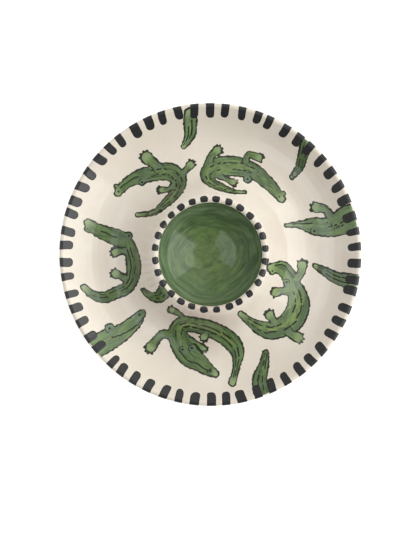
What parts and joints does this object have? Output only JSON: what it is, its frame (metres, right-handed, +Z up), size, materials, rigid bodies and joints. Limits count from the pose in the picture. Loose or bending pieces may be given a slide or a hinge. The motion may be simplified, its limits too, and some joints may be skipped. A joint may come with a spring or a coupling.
{
  "type": "chip and dip server",
  "caption": "Round glazed ceramic server: a wide dish with a flared lip round a raised dip bowl, on a foot ring, with fired-on painted decoration.",
  "frame": {"origin": "on the foot ring's standing plane, on the server's axis", "axes": "+Z up along the axis, out of the dip bowl's mouth; +X to the right and +Y to the back of the painted pattern as laid out"},
  "size_m": [0.3298, 0.33, 0.049],
  "materials": {
    "clear_glaze": "clear gloss glaze over warm white clay",
    "bare_clay": "bare fired clay, matte",
    "green_glaze": "gloss green glaze, brushed on",
    "black_paint": "black underglaze paint under clear gloss",
    "crocodile_green": "brushed green underglaze with dark outlines, under clear gloss"
  },
  "bodies": {
    "root": {"dish": "clear_glaze", "dip_bowl": "clear_glaze", "foot_ring": "bare_clay", "luting_coil": "bare_clay", "bowl_lining": "green_glaze", "rim_dashes": "black_paint", "bowl_rim_dots": "black_paint", "crocodile_top_right": "crocodile_green", "crocodile_top_left": "crocodile_green", "crocodile_left": "crocodile_green", "crocodile_bottom": "crocodile_green", "crocodile_right": "crocodile_green", "crocodile_head_right": "crocodile_green", "crocodile_head_lower_left": "crocodile_green", "crocodile_tail_upper_right": "crocodile_green", "crocodile_tail_top": "crocodile_green", "crocodile_tail_by_bowl": "crocodile_green", "crocodile_tail_lower_right": "crocodile_green", "crocodile_tail_right": "crocodile_green"}
  },
  "joints": []
}
